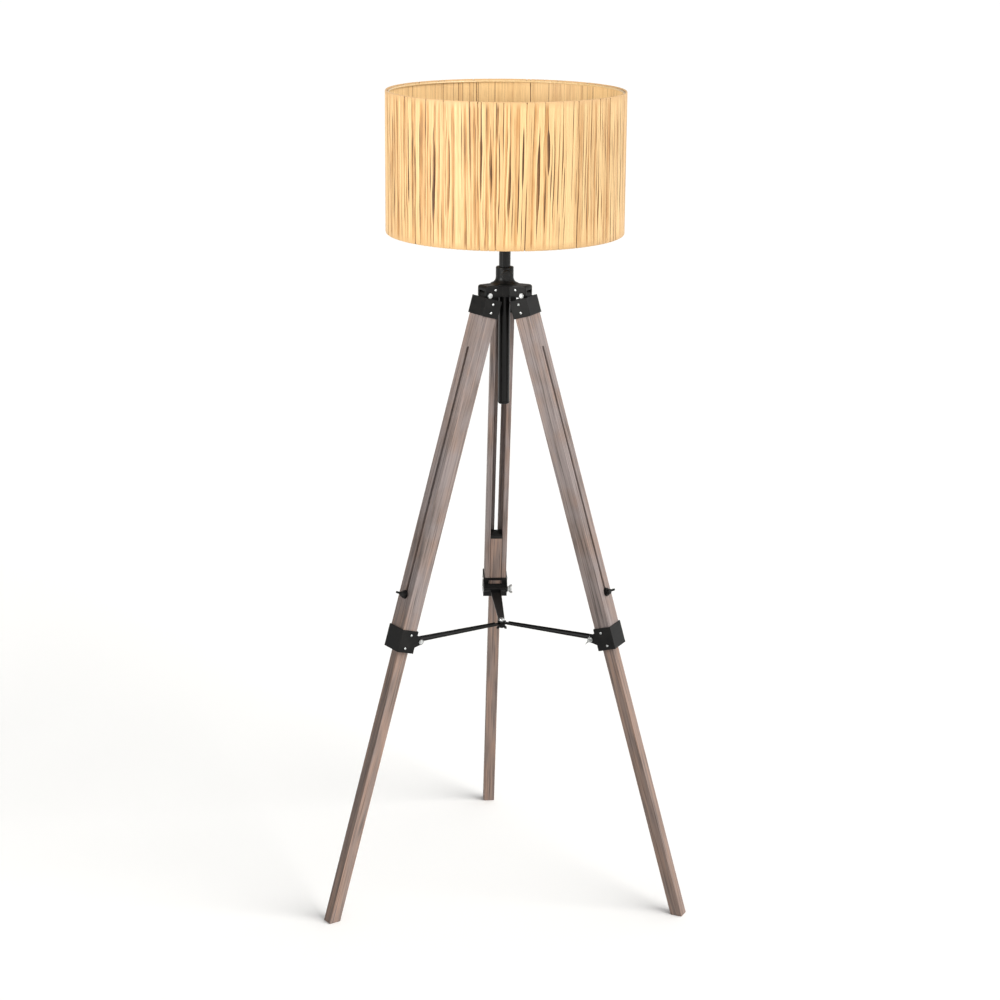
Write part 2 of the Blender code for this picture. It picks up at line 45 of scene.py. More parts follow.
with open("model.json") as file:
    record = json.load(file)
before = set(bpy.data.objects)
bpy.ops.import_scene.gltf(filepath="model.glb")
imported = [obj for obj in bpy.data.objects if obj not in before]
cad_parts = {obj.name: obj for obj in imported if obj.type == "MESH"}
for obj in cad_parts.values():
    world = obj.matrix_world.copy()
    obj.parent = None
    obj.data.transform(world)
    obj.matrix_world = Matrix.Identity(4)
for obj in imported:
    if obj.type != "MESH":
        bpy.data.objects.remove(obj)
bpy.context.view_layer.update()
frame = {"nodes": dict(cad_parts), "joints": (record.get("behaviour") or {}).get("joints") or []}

JOINTS = {joint["name"]: joint for joint in frame["joints"]}
SIDES = ("back", "left", "right")
FOLD_JOINTS = {"back": "legs_fold", "left": "leg_fold_left", "right": "leg_fold_right"}
LAMP_AXIS = Vector((*JOINTS["column_clamp_turn"]["pos_m"][:2], 0.0))
MM = 0.001

# Upper and lower leg, in a frame on the leg's pivot: X points outwards and Z up the leg
UPPER_X = -0.0066
UPPER_WIDTH = 0.044
UPPER_DEPTH = 0.032
CHEEK = 0.0098
WEB = 0.0085
UPPER_ENDS = (-0.6966, -0.0143)
SLOT_ENDS = (-0.599, -0.102)
SLOT_WIDTH = 0.007
LOWER_X = -0.0107
LOWER_WIDTH = 0.0232
LOWER_DEPTH = 0.0226
LOWER_TOP = -0.560
STUD_HEIGHT = -0.591
STUD_HOLE = 0.0033
SLEEVE_SIDE = 0.0243    # outer face of a leg cap or a collar, from the leg's middle
EDGE_ANGLE = radians(38)
WELD_WITHIN = 0.01 * MM

# Raffia shade: the layers lie inside the drum's wall, each a little in from its faces and its rims
DRUM_WALL = 0.003
FACE_INSET = 0.0002
UNDER_INSET = 0.0011
INSIDE_INSET = 0.0003
LINING_INSETS = (0.0005, 0.0015)
UNDER_RIM_GAP = 0.003
INSIDE_RIM_GAP = 0.004
LINING_RIM_GAP = 0.001
UNDER_THICK = 0.00025
INSIDE_THICK = 0.00022
RIM_FADE = 0.007
STRAND_EDGE = radians(80)
STRAND_SECTION = ((-1, 0), (-0.6, 0.8), (0, 1), (0.6, 0.8), (1, 0), (0.5, -0.35), (-0.5, -0.35))
OUTER_STEPS = 22
UNDER_STEPS = 14
INSIDE_STEPS = 10
SHORT_SLITS = 0.55      # share of the slits that are short
SLIT_FOOT = 0.016
SLIT_HEAD = 0.026
PARTED_STRANDS = 6      # how many strands each side of a slit give way to it

# Head, clamp knob and bulb
HEAD_SCREW_OUT = 0.030
HEAD_SCREW_SIDE = 0.0145
HEAD_SCREW_HEIGHT = 1.2080
KNOB_FACE = 0.0219
BULB_RADIUS = 0.030

# Small screws of the leg caps and the collars: (x, z) on a side face of the leg
SLEEVE_SCREWS = {
    "cap": ((-0.0066, -0.0145), (-0.0066, -0.0310)),
    "collar": ((-0.0105, -0.6640), (-0.0035, -0.6905)),
}

# Stage
FLOOR_WIDTH = (-60, 60)
FLOOR_HEIGHTS = (-0.02, -0.0004)
WORLD_GLOW = (0.24, 1.0)
WINDOW_FROM = (7.6, -5.4, 4.7)
CAMERA_TURN = radians(-3.81)
CAMERA_PITCH = radians(14.77)
CAMERA_ROLL = radians(0.48)
CAMERA_SENSOR = 36.0
CAMERA_LENS = 82.67
CAMERA_SHIFT = (-0.0031, -0.0357)


# Colours and materials

def linear(code):
    """An sRGB hex colour as linear red, green, blue and alpha."""
    parts = [int(code[i:i + 2], 16) / 255 for i in (1, 3, 5)]
    return (*(c / 12.92 if c <= 0.04045 else ((c + 0.055) / 1.055) ** 2.4 for c in parts), 1.0)


def per(millimetres):
    """Texture scale at which one feature is that wide."""
    return 1000 / millimetres


def add(tree, kind, links=(), stops=(), **settings):
    """Adds a node. Links pairs an input with a socket or a value, and stops are a ramp's colours."""
    made = tree.nodes.new(kind)
    for name, value in settings.items():
        setattr(made, name, value)
    for name, value in dict(links).items():
        if isinstance(value, bpy.types.NodeSocket):
            tree.links.new(value, made.inputs[name])
        else:
            made.inputs[name].default_value = value
    for number, (place, colour) in enumerate(stops):
        ramp = made.color_ramp.elements
        stop = ramp[number] if number < 2 else ramp.new(place)
        stop.position, stop.color = place, colour
    return made.outputs


def clouds(tree, where, width, **sockets):
    """Soft noise with features that many millimetres wide."""
    return add(tree, "ShaderNodeTexNoise", {"Vector": where, "Scale": per(width), **sockets})["Fac"]


def drawn_out(tree, where, scale):
    """The place, scaled so that a pattern runs long where the scale is small."""
    return add(tree, "ShaderNodeMapping", {"Vector": where, "Scale": scale})["Vector"]


def ramp(tree, amount, *stops):
    return add(tree, "ShaderNodeValToRGB", {"Fac": amount}, stops)["Color"]


def span(tree, value, to, source=(0.0, 1.0)):
    """Carries a value from one range to another."""
    ends = {"From Min": source[0], "From Max": source[1], "To Min": to[0], "To Max": to[1]}
    return add(tree, "ShaderNodeMapRange", {"Value": value, **ends})["Result"]


def blend(tree, share, one, two, kind="MIX"):
    return add(tree, "ShaderNodeMix", {0: share, 6: one, 7: two}, data_type="RGBA", blend_type=kind)[2]


def grey(value):
    return (value, value, value, 1.0)


def started(name, **sockets):
    """A new material's node tree and its shader, with the constants set on the shader's own sockets."""
    made = bpy.data.materials.new(name)
    made.use_nodes = True
    shader = made.node_tree.nodes["Principled BSDF"]
    for socket, value in sockets.items():
        shader.inputs[socket.replace("_", " ")].default_value = value
    return made, made.node_tree, shader


def joined(tree, shader, colour=None, roughness=None, height=None, bump=0.2, depth=0.2 * MM):
    """Links a colour, a roughness and a height to the shader."""
    if colour:
        tree.links.new(colour, shader.inputs["Base Color"])
    if roughness:
        tree.links.new(roughness, shader.inputs["Roughness"])
    if height:
        raised = add(tree, "ShaderNodeBump", {"Height": height, "Strength": bump, "Distance": depth})
        tree.links.new(raised["Normal"], shader.inputs["Normal"])


def weathered_wood(look, name="grey_washed_hardwood", most_wash=0.85, paler=0.0):
    """Sawn hardwood, grey-washed and waxed. The wash dulls the red of the wood to a pinkish grey and stays
    dark in the open pores, which run up the leg as long fine lines. Broad bands keep more of its warmth."""
    made, tree, shader = started(name, Roughness=0.62)
    where = add(tree, "ShaderNodeTexCoord")["Object"]
    luck = add(tree, "ShaderNodeObjectInfo")["Random"]
    shift = add(tree, "ShaderNodeVectorMath", {0: luck, 1: (3.1, 5.3, 7.7)}, operation="MULTIPLY")["Vector"]
    place = add(tree, "ShaderNodeVectorMath", {0: where, 1: shift}, operation="ADD")["Vector"]
    long = drawn_out(tree, place, (1, 1, 0.06))
    longer = drawn_out(tree, place, (1, 1, 0.018))
    # growth bands about 9 mm wide, pores 2.4 mm apart (real ones are finer and would not show)
    bands = clouds(tree, long, 9, Detail=6.0, Distortion=0.7)
    pores = clouds(tree, longer, 2.4, Detail=5.0, Roughness=0.66)
    blotch = clouds(tree, place, 60, Detail=2.0)
    body = ramp(tree, bands, (0.30 - paler, look.wood_dark), (0.50 - paler, look.wood),
                (0.68 - paler, look.wood_warm))
    wash = span(tree, blotch, (0.0, most_wash), (0.30, 0.62))
    washed = blend(tree, wash, body, look.wood_wash)
    line = ramp(tree, pores, (0.36, grey(0.42)), (0.47, grey(0.90)), (0.64, grey(1.14)))
    grained = blend(tree, 1.0, washed, line, "MULTIPLY")
    rough = span(tree, pores, (0.74, 0.52), (0.3, 0.7))
    joined(tree, shader, grained, rough, pores, 0.35, 0.25 * MM)
    return made


def thin_washed_wood(look):
    """The same hardwood under a thinner wash, so it keeps more of its brown."""
    return weathered_wood(look, "thin_washed_hardwood", 0.12, 0.07)


def painted_casting(look):
    """Sand-cast iron under satin black paint. The sand leaves a soft pebbled skin that breaks up the
    highlights."""
    made, tree, shader = started("black_painted_cast_iron", Roughness=0.42, Specular_IOR_Level=0.17)
    where = add(tree, "ShaderNodeTexCoord")["Object"]
    sand = clouds(tree, where, 1.4, Detail=3.0)
    cloud = clouds(tree, where, 14, Detail=2.0)
    shade = ramp(tree, cloud, (0.3, look.black), (0.75, look.black_worn))
    rough = span(tree, sand, (0.30, 0.56))
    joined(tree, shader, shade, rough, sand, 0.35, 0.3 * MM)
    return made


def coated_steel(look):
    """Pressed steel sheet with a fine black powder coat, a little paler where hands have rubbed it."""
    made, tree, shader = started("black_powder_coated_steel", Roughness=0.45, Specular_IOR_Level=0.17)
    where = add(tree, "ShaderNodeTexCoord")["Object"]
    grain = clouds(tree, where, 0.9, Detail=2.0)
    rubbed = clouds(tree, where, 22, Detail=4.0, Roughness=0.6)
    shade = ramp(tree, rubbed, (0.42, look.black), (0.72, look.black_worn))
    rough = span(tree, rubbed, (0.36, 0.56))
    joined(tree, shader, shade, rough, grain, 0.22, 0.12 * MM)
    return made


def enamelled_tube(look):
    """Drawn steel tube in black stoving enamel: smooth, with a long clean highlight and faint marks of
    sliding."""
    made, tree, shader = started("black_enamelled_tube", Roughness=0.26, Specular_IOR_Level=0.26)
    where = add(tree, "ShaderNodeTexCoord")["Object"]
    along = drawn_out(tree, where, (1, 1, 0.03))
    marks = clouds(tree, along, 1.2, Detail=3.0)
    shade = ramp(tree, marks, (0.4, look.black), (0.85, look.black_worn))
    rough = span(tree, marks, (0.20, 0.36))
    joined(tree, shader, shade, rough, marks, 0.06, 0.05 * MM)
    return made


def moulded_nylon(look):
    """Injection-moulded black nylon with a spark-eroded texture, dull and slightly grey in soft patches."""
    made, tree, shader = started("black_moulded_nylon", Roughness=0.5, IOR=1.53, Specular_IOR_Level=0.22)
    where = add(tree, "ShaderNodeTexCoord")["Object"]
    cells = add(tree, "ShaderNodeTexVoronoi", {"Vector": where, "Scale": per(0.7)}, feature="SMOOTH_F1")
    pits = cells["Distance"]
    cloud = clouds(tree, where, 9)
    shade = ramp(tree, cloud, (0.3, look.plastic), (0.8, look.black_worn))
    rough = span(tree, cloud, (0.42, 0.60))
    joined(tree, shader, shade, rough, pits, 0.12, 0.06 * MM)
    return made


def bright_zinc(look):
    """Zinc-plated steel hardware, bright, with fine scratches from tools and a faint bluish cast."""
    made, tree, shader = started("bright_zinc_plate", Metallic=1.0, Roughness=0.28)
    where = add(tree, "ShaderNodeTexCoord")["Object"]
    scratch = clouds(tree, where, 0.8, Detail=6.0, Distortion=1.5)
    dull = clouds(tree, where, 5, Detail=2.0)
    shade = ramp(tree, dull, (0.3, look.zinc_dull), (0.65, look.zinc))
    rough = span(tree, scratch, (0.18, 0.42), (0.3, 0.7))
    joined(tree, shader, shade, rough, scratch, 0.08, 0.03 * MM)
    return made


def raffia(look):
    """Split raffia leaf, dried and laid by hand. Each strand has its own shade from cream to orange tan, and
    its fibres run along it as fine lines with a waxy, broken gloss."""
    made, tree, shader = started("split_raffia", Roughness=0.58, Sheen_Weight=0.15, Sheen_Roughness=0.5)
    where = add(tree, "ShaderNodeTexCoord")["Object"]
    along = drawn_out(tree, where, (1, 1, 0.03))
    patch = drawn_out(tree, where, (1, 1, 0.12))
    # fibres are drawn 1.1 mm apart, about three times as coarse as real ones
    fibres = clouds(tree, along, 1.1, Detail=4.0, Roughness=0.6)
    uneven = clouds(tree, patch, 11, Detail=3.0)
    tone = add(tree, "ShaderNodeAttribute", attribute_name="tone")["Fac"]
    rim = add(tree, "ShaderNodeAttribute", attribute_name="rim")["Fac"]
    lean = span(tree, uneven, (-0.18, 0.18), (0.3, 0.7))
    mixed = add(tree, "ShaderNodeMath", {0: tone, 1: lean}, operation="ADD")["Value"]
    strand = ramp(tree, mixed, (0.0, look.raffia_cream), (0.45, look.raffia), (0.8, look.raffia_tan),
                  (1.0, look.raffia_brown_and_gap_shade))
    line = ramp(tree, fibres, (0.30, grey(0.72)), (0.46, grey(0.96)), (0.7, grey(1.04)))
    lined = blend(tree, 1.0, strand, line, "MULTIPLY")
    edged = blend(tree, rim, lined, look.raffia_rim)
    rough = span(tree, fibres, (0.70, 0.48), (0.3, 0.7))
    joined(tree, shader, edged, rough, fibres, 0.35, 0.25 * MM)
    return made


def shade_lining(look):
    """Brown laminated paper behind the raffia. Both its colours are kept dark as painted shade, standing in
    for the shade deep in the gaps where it shows between strands.
    """
    made, tree, shader = started("lining_paper_and_gap_shade", Roughness=0.85)
    where = add(tree, "ShaderNodeTexCoord")["Object"]
    pulp = clouds(tree, where, 3, Detail=5.0)
    shade = ramp(tree, pulp, (0.3, look.lining_gap_shade), (0.7, look.lining))
    joined(tree, shader, shade, None, pulp, 0.2, 0.2 * MM)
    return made


def coated_wire(look):
    """Steel wire dipped in off-white epoxy, glossy, with the slight waviness of a dipped coat."""
    made, tree, shader = started("white_epoxy_wire", Roughness=0.34, Coat_Weight=0.3)
    where = add(tree, "ShaderNodeTexCoord")["Object"]
    runs = clouds(tree, where, 4, Detail=2.0)
    shade = ramp(tree, runs, (0.3, look.wire_dull), (0.65, look.wire))
    joined(tree, shader, shade, None, runs, 0.1, 0.1 * MM)
    return made


def opal_glass(look):
    """Blown glass, opal white inside: an even milky body under a clear glossy skin."""
    made, tree, shader = started("opal_blown_glass", Roughness=0.12, Subsurface_Weight=0.6,
                                 Subsurface_Scale=4 * MM, Subsurface_Radius=(1.0, 0.9, 0.8),
                                 Coat_Weight=0.5, Coat_Roughness=0.03)
    where = add(tree, "ShaderNodeTexCoord")["Object"]
    milk = clouds(tree, where, 25, Detail=2.0)
    shade = ramp(tree, milk, (0.3, look.opal_shadow), (0.7, look.opal))
    rough = span(tree, milk, (0.08, 0.16))
    joined(tree, shader, shade, rough)
    return made


def pressed_brass(look):
    """Nickelled brass pressed into a screw base, softly brushed round the turn."""
    made, tree, shader = started("nickelled_pressed_brass", Metallic=1.0, Roughness=0.3)
    where = add(tree, "ShaderNodeTexCoord")["Object"]
    around = drawn_out(tree, where, (0.1, 0.1, 1))
    brush = clouds(tree, around, 0.4, Detail=4.0)
    shade = ramp(tree, brush, (0.3, look.nickel_dull), (0.7, look.nickel))
    rough = span(tree, brush, (0.22, 0.44))
    joined(tree, shader, shade, rough, brush, 0.08, 0.03 * MM)
    return made


def floor_paper(look):
    """Matt white studio paper."""
    return started("white_studio_paper", Roughness=0.9, Base_Color=look.floor)[0]


FINISHES = {
    "wood": weathered_wood,
    "wood_thin_wash": thin_washed_wood,
    "cast_iron_black": painted_casting,
    "sheet_black": coated_steel,
    "tube_black": enamelled_tube,
    "plastic_black": moulded_nylon,
    "zinc": bright_zinc,
    "raffia": raffia,
    "lining": shade_lining,
    "shade_wire": coated_wire,
    "opal_glass": opal_glass,
    "lamp_metal": pressed_brass,
    "floor": floor_paper,
}
made_finishes = {}


def finish(name):
    if name not in made_finishes:
        made_finishes[name] = FINISHES[name](bpy.context.scene.lamp_look)
    return made_finishes[name]


# Shapes: each returns a closed bmesh

def block(x, y, z):
    shape = bmesh.new()
    bmesh.ops.create_cube(shape, size=1.0)
    for vert in shape.verts:
        vert.co = Vector([pair[0] if c < 0 else pair[1] for c, pair in zip(vert.co, (x, y, z))])
    return shape


def prism(outline, low, high):
    """An outline in X and Y, carried from one height to another."""
    shape = bmesh.new()
    face = shape.faces.new([shape.verts.new((x, y, low)) for x, y in outline])
    grown = bmesh.ops.extrude_face_region(shape, geom=[face])
    bmesh.ops.translate(shape, verts=[v for v in grown["geom"] if isinstance(v, bmesh.types.BMVert)],
                        vec=(0, 0, high - low))
    bmesh.ops.recalc_face_normals(shape, faces=shape.faces)
    return shape


def turned(profile, sides=48, flutes=0, cut=0.0, fluted=(0, 0)):
    """A profile of (radius, height) points turned about Z, with flutes cut between two heights."""
    shape = bmesh.new()
    rings = []
    for radius, height in profile:
        count = 1 if radius == 0 else sides
        deep = cut if fluted[0] <= height <= fluted[1] else 0.0
        ring = []
        for i in range(count):
            turn = 2 * pi * i / count
            r = radius - deep * (0.5 + 0.5 * cos(flutes * turn))
            ring.append(shape.verts.new((r * cos(turn), r * sin(turn), height)))
        rings.append(ring)
    pairs = list(zip(rings, rings[1:])) + ([(rings[-1], rings[0])] if profile[0][0] else [])
    for one, two in pairs:
        for i in range(sides):
            j = (i + 1) % sides
            corners = [one[i % len(one)], one[j % len(one)], two[j % len(two)], two[i % len(two)]]
            shape.faces.new(list(dict.fromkeys(corners)))
    bmesh.ops.recalc_face_normals(shape, faces=shape.faces)
    return shape


def arc(centre, radius, start, end, steps):
    return [(centre[0] + radius * cos(radians(start + (end - start) * i / steps)),
             centre[1] + radius * sin(radians(start + (end - start) * i / steps))) for i in range(steps + 1)]


def moved(shape, matrix):
    shape.transform(matrix)
    return shape


def facing(direction, at=(0, 0, 0)):
    """The transform that takes +Z to a direction and the origin to a place."""
    return Matrix.Translation(at) @ Vector(direction).to_track_quat("Z", "Y").to_matrix().to_4x4()


def leg_place(side):
    """The transform from a leg's own frame to the lamp's."""
    up = Vector(JOINTS[f"leg_length_{side}"]["axis"]).normalized()
    across = Vector((up.y, -up.x, 0)).normalized()
    pivot = Vector(JOINTS[FOLD_JOINTS[side]]["pos_m"])
    return Matrix.Translation(pivot) @ Matrix((across.cross(up), across, up)).transposed().to_4x4()


# Objects

def mesh_object(name, shape):
    mesh = bpy.data.meshes.new(name)
    shape.to_mesh(mesh)
    shape.free()
    made = bpy.data.objects.new(name, mesh)
    bpy.context.scene.collection.objects.link(made)
    return made


def eased(made, width, segments=2):
    """Rounds an object's sharp edges and keeps its flat faces flat."""
    if width:
        bevel = made.modifiers.new("Eased edges", "BEVEL")
        bevel.width, bevel.segments = width, segments
        bevel.limit_method, bevel.angle_limit = "ANGLE", EDGE_ANGLE
    made.modifiers.new("Flat faces", "WEIGHTED_NORMAL").keep_sharp = True


def piece(name, slot, shapes, body, replaced=(), cuts=(), place=Matrix(), edge=0.0, surface=None):
    """One piece: shapes joined, then cut, placed, given its finish and hung on its body."""
    made = mesh_object(name, shapes[0])
    steps = [("UNION", shape) for shape in shapes[1:]] + [("DIFFERENCE", shape) for shape in cuts]
    tools = []
    for operation, shape in steps:
        tools.append(mesh_object(f"{name}_tool", shape))
        step = made.modifiers.new(operation, "BOOLEAN")
        step.operation, step.object = operation, tools[-1]
    if steps:
        evaluated = made.evaluated_get(bpy.context.evaluated_depsgraph_get())
        made.data = bpy.data.meshes.new_from_object(evaluated)
        made.modifiers.clear()
        for tool in tools:
            bpy.data.objects.remove(tool)
    made.data.materials.clear()
    made.data.materials.append(finish(surface or slot))
    made.data.shade_smooth()
    if edge:
        eased(made, edge)
    else:
        made.data.set_sharp_from_angle(angle=EDGE_ANGLE)
    made.matrix_world = place
    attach(made, body)
    if replaced:
        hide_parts(*replaced)
    return made


def dressed(node, slot, edge):
    """A piece of the frame, given its finish and eased edges."""
    made = frame["nodes"][node]
    for material_slot in made.material_slots:
        material_slot.material = finish(slot)
    made.modifiers.new("Joined corners", "WELD").merge_threshold = WELD_WITHIN
    eased(made, edge)
    return made


def softened(name, node, slot, body, voxel, passes):
    """A casting: the frame's piece with every edge and inner corner rounded off."""
    made = bpy.data.objects.new(name, frame["nodes"][node].data.copy())
    bpy.context.scene.collection.objects.link(made)
    made.modifiers.new("Joined corners", "WELD").merge_threshold = WELD_WITHIN
    remesh = made.modifiers.new("Skin", "REMESH")
    remesh.mode, remesh.voxel_size, remesh.use_smooth_shade = "VOXEL", voxel, True
    smooth = made.modifiers.new("Fettled", "CORRECTIVE_SMOOTH")
    smooth.rest_source, smooth.use_only_smooth = "ORCO", True
    smooth.iterations = passes
    made.data.materials.clear()
    made.data.materials.append(finish(slot))
    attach(made, body)
    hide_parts(node)
    return made


# Settings

def colour(name, description, code):
    return bpy.props.FloatVectorProperty(name=name, description=description, size=4, min=0.0, max=1.0,
                                         subtype="COLOR", default=linear(code))


def length(name, description, default):
    return bpy.props.FloatProperty(name=name, description=description, default=default, min=0.0, precision=5,
                                   subtype="DISTANCE", unit="LENGTH")


class LampLook(bpy.types.PropertyGroup):
    """Colours of the lamp and its surroundings."""
    wood: colour("Wood", "Grey-washed wood between the bands", "#7b6960")
    wood_dark: colour("Dark bands", "Late growth, where the wash has soaked in", "#564a44")
    wood_warm: colour("Warm bands", "Wood that shows through the wash", "#8c7263")
    wood_wash: colour("Wash", "Thicker patches of the grey wash", "#807674")
    black: colour("Black paint", "Black paint and powder coat", "#090909")
    black_worn: colour("Worn black", "Black paint where it is rubbed", "#161514")
    plastic: colour("Black plastic", "Moulded knobs and lampholder", "#0a0a0a")
    zinc: colour("Zinc", "Bright plated hardware", "#d2d4d4")
    zinc_dull: colour("Dull zinc", "Plating that has gone dull", "#a2a4a3")
    raffia_cream: colour("Cream raffia", "Palest strands", "#cfad79")
    raffia: colour("Raffia", "Most strands", "#c19c69")
    raffia_tan: colour("Tan raffia", "Orange-tan strands", "#a97a42")
    # this brown is partly the darkest outer strands and partly painted shade: the under layer takes nearly
    # this brown so the gaps look shaded
    raffia_brown_and_gap_shade: colour("Brown raffia", "Darkest strands", "#54340f")
    raffia_rim: colour("Rim", "Pressed raffia folded over the rims", "#b99463")
    # painted shade: both lining colours are kept dark so that the lining stands in for the shade deep in the
    # gaps between strands
    lining: colour("Lining", "Paper behind the raffia", "#58300d")
    lining_gap_shade: colour("Dark lining", "Deep gaps between strands", "#341b06")
    wire: colour("Wire", "Coated wire of the shade's frame", "#cfb487")
    wire_dull: colour("Dull wire", "Wire coating in its hollows", "#bb9a66")
    opal: colour("Opal glass", "Bulb", "#f6f4ec")
    opal_shadow: colour("Opal glass, thin", "Bulb where the opal coat is thinner", "#e8e4d8")
    nickel: colour("Nickel", "Screw base of the bulb", "#d8d2c4")
    nickel_dull: colour("Dull nickel", "Screw base, dull", "#a59f92")
    floor: colour("Floor", "Studio floor", "#fefefd")


class LampSizes(bpy.types.PropertyGroup):
    """Sizes of the details that the frame leaves open."""
    strands: bpy.props.IntProperty(name="Strands", description="Raffia strands round the outside",
                                   default=400, min=60)
    inner_strands: bpy.props.IntProperty(name="Inner strands", description="Raffia strands round the inside",
                                         default=300, min=60)
    strand_thick: length("Strand thickness", "Thickness of a raffia strand", 0.0004)
    slits: bpy.props.IntProperty(name="Slits", description="Gaps where two strands lie apart",
                                 default=240, min=0)
    slit_wide: length("Slit width", "Widest half width of such a gap", 0.0015)
    rim_turn: length("Rim turn", "How far each strand is folded in over the rim wires", 0.005)
    wood_edge: length("Wood edge", "Rounding of the wooden edges", 0.0011)
    sheet_edge: length("Sheet edge", "Rounding of the bent sheet edges", 0.0006)
    small_edge: length("Hardware edge", "Rounding of bolts, nuts and knobs", 0.0003)
    cast_skin: length("Casting skin", "Size of the facets of the casting's rounded skin", 0.0008)
    screw_head: length("Screw head", "Radius of the small screws in the caps and collars", 0.0025)
    camera_distance: length("Camera distance", "Level distance of the camera from the lamp's axis", 4.3)
    camera_height: length("Camera height", "Height of the camera", 1.995)


# Shade

def strand(shape, tones, rims, path, centres, widths, thick, tone):
    """Adds one flat strand. Path holds (radius, height, outward slope as (r, z), rim) for each step."""
    rings = []
    for (radius, height, (out_r, out_z), rim), centre, width in zip(path, centres, widths):
        ring = []
        for u, v in STRAND_SECTION:
            r = radius + out_r * v * thick
            turn = centre + u * width / radius
            vert = shape.verts.new((LAMP_AXIS.x + r * cos(turn), LAMP_AXIS.y + r * sin(turn),
                                    height + out_z * v * thick))
            vert[tones] = tone
            vert[rims] = rim
            ring.append(vert)
        rings.append(ring)
    count = len(STRAND_SECTION)
    for one, two in zip(rings, rings[1:]):
        for i in range(count):
            j = (i + 1) % count
            shape.faces.new((one[i], one[j], two[j], two[i]))
    shape.faces.new(rings[0])
    shape.faces.new(list(reversed(rings[-1])))


def round_rim(middle, half, height, turns):
    """The steps of a path round a rim wire."""
    return [(middle + half * cos(radians(turn)), height + half * sin(radians(turn)),
             (cos(radians(turn)), sin(radians(turn))), 1.0) for turn in turns]


def strand_path(outer, inner, low, high, turn_in, steps):
    """Up inside the lower rim, round it, up the outside, round the upper rim and down inside."""
    middle, half = (outer + inner) / 2, (outer - inner) / 2
    path = [(inner, low + turn_in, (-1, 0), 1.0), (inner, low + turn_in / 2, (-1, 0), 1.0)]
    path += round_rim(middle, half, low + half, (180, 225, 270, 315))
    for i in range(steps + 1):
        share = i / steps
        height = low + half + (high - low - 2 * half) * share
        near = min(height - low, high - height)
        path.append((outer, height, (1, 0), max(0.0, 1 - near / RIM_FADE) ** 0.7))
    path += round_rim(middle, half, high - half, (45, 90, 135, 180))
    path += [(inner, high - turn_in / 2, (-1, 0), 1.0), (inner, high - turn_in, (-1, 0), 1.0)]
    return path


def strand_shape():
    """An empty mesh whose points carry a strand's tone and how near they are to a rim."""
    shape = bmesh.new()
    tones = shape.verts.layers.float.new("tone")
    rims = shape.verts.layers.float.new("rim")
    return shape, tones, rims


def closed(shape):
    """A mesh of strands with every face turned outwards."""
    bmesh.ops.recalc_face_normals(shape, faces=shape.faces)
    return shape


def chosen_slits(sizes, low, high):
    """Where strands lie apart: (place between strands, height, half length, half width)."""
    luck = Random(5)
    slits = []
    for _ in range(sizes.slits):
        reach = luck.uniform(0.035, 0.075) if luck.random() < SHORT_SLITS else luck.uniform(0.075, 0.105)
        bottom, top = low + SLIT_FOOT + reach, high - SLIT_HEAD - reach
        place = luck.randrange(sizes.strands) + 0.5
        height = luck.uniform(min(bottom, top), max(bottom, top))
        slits.append((place, height, reach, sizes.slit_wide * luck.uniform(0.35, 1.0)))
    return slits


def parting(number, height, count, slits):
    """How far the slits push a strand aside at a height."""
    push = 0.0
    for place, middle, reach, half in slits:
        away = (number - place + count / 2) % count - count / 2
        along = (height - middle) / reach
        if abs(along) < 1 and abs(away) < PARTED_STRANDS:
            push += half * (1 - along ** 4) * exp(-abs(abs(away) - 0.5) / 1.2) * (1 if away > 0 else -1)
    return push


def outer_strands(sizes, low, high, outer, inner, slits):
    """Strands round the outside, parted here and there into long narrow slits."""
    luck = Random(11)
    shape, tones, rims = strand_shape()
    count = sizes.strands
    pitch = 2 * pi / count
    for number in range(count):
        turn = number * pitch
        drift = noise.noise(Vector((3 * cos(turn), 3 * sin(turn), 0.3))) * 0.010
        slope = (drift + luck.uniform(-0.0038, 0.0038)) / outer
        bow = luck.uniform(-0.0012, 0.0012) / outer
        start = luck.uniform(-0.0004, 0.0004) / outer
        wave, lag = luck.uniform(0.0, 0.0005) / outer, luck.uniform(0, 2 * pi)
        wide = pi * outer / count * luck.uniform(0.96, 1.16)
        layer = luck.uniform(0.0, 0.0006)
        band = noise.noise(Vector((5 * cos(turn), 5 * sin(turn), 2.7))) * 0.30
        tone = min(0.80, max(0.06, 0.36 + band + luck.uniform(-0.44, 0.44)))
        path = strand_path(outer - layer, inner, low, high, sizes.rim_turn, OUTER_STEPS)
        centres, widths = [], []
        for radius, height, _, _ in path:
            share = min(1.0, max(0.0, (height - low) / (high - low)))
            belly = sin(pi * share)
            centre = turn + start + slope * (share - 0.5) + bow * belly + wave * belly * sin(9 * share + lag)
            centres.append(centre + parting(number, height, count, slits) / outer)
            widths.append(wide * (1.38 - 0.38 * min(1.0, belly * 1.9)))
        strand(shape, tones, rims, path, centres, widths, sizes.strand_thick, tone)
    return closed(shape)


def under_strands_gap_shade(sizes, low, high, radius, slits):
    """A darker layer that shows through the fine gaps and parts with the slits. Its dark tan to brown tones
    are painted shade for the gaps.
    """
    luck = Random(17)
    shape, tones, rims = strand_shape()
    count = sizes.strands
    for number in range(count):
        wide = pi * radius / count * luck.uniform(1.1, 1.25)
        # painted shade: the under strands take the darkest tones so that the gaps look shaded
        tone = luck.uniform(0.86, 1.0)
        slope = luck.uniform(-0.0015, 0.0015) / radius
        path, centres = [], []
        for i in range(UNDER_STEPS + 1):
            height = low + (high - low) * i / UNDER_STEPS
            path.append((radius, height, (1, 0), 0.0))
            centres.append(2 * pi * (number + 0.5) / count + slope * (i / UNDER_STEPS - 0.5)
                           + parting(number + 0.5, height, count, slits) / radius)
        strand(shape, tones, rims, path, centres, [wide] * len(path), UNDER_THICK, tone)
    return closed(shape)


